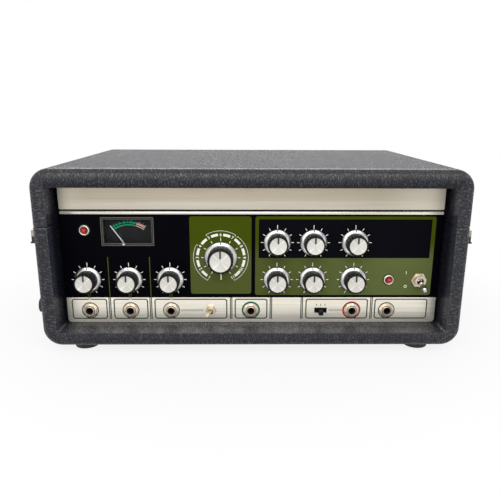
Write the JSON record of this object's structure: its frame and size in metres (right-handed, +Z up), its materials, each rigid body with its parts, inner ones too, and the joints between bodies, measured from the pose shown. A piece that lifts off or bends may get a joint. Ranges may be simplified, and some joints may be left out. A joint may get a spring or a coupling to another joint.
{
  "type": "tape echo unit",
  "caption": "Tape echo effects unit in a carrying case with a hinged lid, recessed control panel, level meter, tape deck, rubber feet and side handle.",
  "frame": {"origin": "middle of the whole unit's footprint, on the surface that the feet stand on", "axes": "+X to the right across the control panel, +Y from the panel towards the hinges, +Z up"},
  "size_m": [0.4494, 0.28, 0.185],
  "materials": {
    "covering": "dark grained vinyl covering",
    "rubber": "moulded black rubber",
    "strap": "black padded vinyl strap",
    "nickel": "bright nickel plating",
    "zinc_steel": "zinc plated sheet steel",
    "panel_aluminium": "brushed aluminium, printed in black and green",
    "trim_aluminium": "brushed aluminium",
    "painted_steel": "semi-matt black paint",
    "screw_steel": "plated screw heads",
    "black_plastic": "black phenolic",
    "red_lens": "red transparent lens",
    "cream_plastic": "cream plastic",
    "meter_bezel": "grey enamelled bezel",
    "meter_face": "matt dark face",
    "clear_window": "clear acrylic",
    "needle_white": "white enamel",
    "turned_steel": "turned and polished",
    "tank_plastic": "dark moulded plastic",
    "tape_oxide": "brown oxide tape",
    "head_metal": "polished metal shell",
    "brass": "turned brass",
    "motor_steel": "grey painted steel",
    "core_steel": "varnished laminations",
    "board": "phenolic paper board",
    "knob_black": "black phenolic with aluminium skirt and cap"
  },
  "bodies": {
    "unit": {"lower_case": "covering", "rubber_feet": "rubber", "handle_strap": "strap", "handle_caps": "nickel", "hinge_case_leaves": "nickel", "latch_bases": "nickel", "chassis": "zinc_steel", "front_panel": "panel_aluminium", "header_trim": "trim_aluminium", "back_panel": "painted_steel", "case_screws": "screw_steel", "rear_fittings": "black_plastic", "control_bodies": "zinc_steel", "jack_sockets": "black_plastic", "jack_nuts": "nickel", "lamp_bezels": "nickel", "lamp_lenses": "red_lens", "toggle_switch_bodies": "nickel", "level_switch_frame": "black_plastic", "meter_housing": "meter_bezel", "meter_dial": "meter_face", "meter_window": "clear_window", "deck_plate": "zinc_steel", "tape_tank": "tank_plastic", "tape_window": "clear_window", "window_thumbscrews": "nickel", "tape_loop": "tape_oxide", "tape_heads": "head_metal", "tape_guides": "turned_steel", "drive_belt": "rubber", "drive_motor": "motor_steel", "power_transformer": "core_steel", "circuit_boards": "board", "reverb_tank": "zinc_steel"},
    "lid": {"lid_shell": "covering", "latch_strikes": "nickel", "hinge_lid_leaves": "nickel"},
    "left_lever": {"left_latch_lever": "nickel"},
    "left_claw": {"left_latch_claw": "nickel"},
    "right_lever": {"right_latch_lever": "nickel"},
    "right_claw": {"right_latch_claw": "nickel"},
    "needle": {"meter_needle": "needle_white"},
    "power_switch": {"power_lever": "nickel"},
    "echo_switch": {"echo_lever": "cream_plastic"},
    "level_switch": {"level_slider": "black_plastic"},
    "capstan": {"flywheel": "turned_steel"},
    "pulley": {"motor_pulley": "brass"},
    "arm": {"pinch_arm": "zinc_steel"},
    "roller": {"pinch_roller": "rubber"},
    "mic_one_knob": {"mic_one_knob": "knob_black"},
    "mic_two_knob": {"mic_two_knob": "knob_black"},
    "instrument_knob": {"instrument_knob": "knob_black"},
    "bass_knob": {"bass_knob": "knob_black"},
    "treble_knob": {"treble_knob": "knob_black"},
    "reverb_volume_knob": {"reverb_volume_knob": "knob_black"},
    "repeat_rate_knob": {"repeat_rate_knob": "knob_black"},
    "intensity_knob": {"intensity_knob": "knob_black"},
    "echo_volume_knob": {"echo_volume_knob": "knob_black"},
    "mode_selector_knob": {"mode_selector_knob": "knob_black"}
  },
  "joints": [
    {"name": "lid_hinge", "type": "hinge", "parent": "unit", "child": "lid", "pos_m": [-0.0068, 0.134, 0.1303], "axis": [-1, 0, 0], "range_deg": [0, 95]},
    {"name": "left_lever_hinge", "type": "hinge", "parent": "unit", "child": "left_lever", "pos_m": [-0.2183, -0.107, 0.1233], "axis": [0, 1, 0], "range_deg": [0, 90]},
    {"name": "left_claw_hinge", "type": "hinge", "parent": "left_lever", "child": "left_claw", "pos_m": [-0.2183, -0.107, 0.1193], "axis": [0, -1, 0], "range_deg": [0, 90]},
    {"name": "right_lever_hinge", "type": "hinge", "parent": "unit", "child": "right_lever", "pos_m": [0.2047, -0.107, 0.1233], "axis": [0, -1, 0], "range_deg": [0, 90]},
    {"name": "right_claw_hinge", "type": "hinge", "parent": "right_lever", "child": "right_claw", "pos_m": [0.2047, -0.107, 0.1193], "axis": [0, 1, 0], "range_deg": [0, 90]},
    {"name": "needle_swing", "type": "hinge", "parent": "unit", "child": "needle", "pos_m": [-0.1339, -0.103, 0.1035], "axis": [0, 1, 0], "range_deg": [0, 80], "stiffness_Nm_per_rad": 0.00002},
    {"name": "mic_one_turn", "type": "hinge", "parent": "unit", "child": "mic_one_knob", "pos_m": [-0.1731, -0.112, 0.0709], "axis": [0, 1, 0], "range_deg": [-150, 150]},
    {"name": "mic_two_turn", "type": "hinge", "parent": "unit", "child": "mic_two_knob", "pos_m": [-0.1314, -0.112, 0.0709], "axis": [0, 1, 0], "range_deg": [-150, 150]},
    {"name": "instrument_turn", "type": "hinge", "parent": "unit", "child": "instrument_knob", "pos_m": [-0.0898, -0.112, 0.0709], "axis": [0, 1, 0], "range_deg": [-150, 150]},
    {"name": "bass_turn", "type": "hinge", "parent": "unit", "child": "bass_knob", "pos_m": [0.0183, -0.112, 0.1097], "axis": [0, 1, 0], "range_deg": [-150, 150]},
    {"name": "treble_turn", "type": "hinge", "parent": "unit", "child": "treble_knob", "pos_m": [0.0545, -0.112, 0.1097], "axis": [0, 1, 0], "range_deg": [-150, 150]},
    {"name": "reverb_volume_turn", "type": "hinge", "parent": "unit", "child": "reverb_volume_knob", "pos_m": [0.0962, -0.112, 0.1097], "axis": [0, 1, 0], "range_deg": [-150, 150]},
    {"name": "repeat_rate_turn", "type": "hinge", "parent": "unit", "child": "repeat_rate_knob", "pos_m": [0.0183, -0.112, 0.0709], "axis": [0, 1, 0], "range_deg": [-150, 150]},
    {"name": "intensity_turn", "type": "hinge", "parent": "unit", "child": "intensity_knob", "pos_m": [0.0545, -0.112, 0.0709], "axis": [0, 1, 0], "range_deg": [-150, 150]},
    {"name": "echo_volume_turn", "type": "hinge", "parent": "unit", "child": "echo_volume_knob", "pos_m": [0.0962, -0.112, 0.0709], "axis": [0, 1, 0], "range_deg": [-150, 150]},
    {"name": "mode_selector_turn", "type": "hinge", "parent": "unit", "child": "mode_selector_knob", "pos_m": [-0.0383, -0.112, 0.094], "axis": [0, 1, 0], "range_deg": [-150, 180]},
    {"name": "power_toggle", "type": "hinge", "parent": "unit", "child": "power_switch", "pos_m": [0.163, -0.11575, 0.0709], "axis": [-1, 0, 0], "range_deg": [0, 26]},
    {"name": "echo_toggle", "type": "hinge", "parent": "unit", "child": "echo_switch", "pos_m": [-0.049, -0.1147, 0.0377], "axis": [0, 0, 1], "range_deg": [0, 26]},
    {"name": "level_slide", "type": "slide", "parent": "unit", "child": "level_switch", "axis": [1, 0, 0], "range_m": [-0.003, 0.003]},
    {"name": "capstan_spin", "type": "hinge", "parent": "unit", "child": "capstan", "pos_m": [0.1032, -0.03645, 0.1033], "axis": [0, 0, 1], "continuous": true},
    {"name": "pulley_spin", "type": "hinge", "parent": "unit", "child": "pulley", "pos_m": [0.0232, 0.05, 0.1033], "axis": [0, 0, 1], "continuous": true},
    {"name": "arm_swing", "type": "hinge", "parent": "unit", "child": "arm", "pos_m": [0.1332, -0.054, 0.1198], "axis": [0, 0, -1], "range_deg": [0, 12], "stiffness_Nm_per_rad": 0.05},
    {"name": "roller_spin", "type": "hinge", "parent": "arm", "child": "roller", "pos_m": [0.10314, -0.05686, 0.1198], "axis": [0, 0, 1], "continuous": true}
  ],
  "couplings": [
    {"joint": "pulley_spin", "follows": "capstan_spin", "ratio": 3.9545},
    {"joint": "left_claw_hinge", "follows": "left_lever_hinge", "ratio": 1},
    {"joint": "right_claw_hinge", "follows": "right_lever_hinge", "ratio": 1}
  ]
}
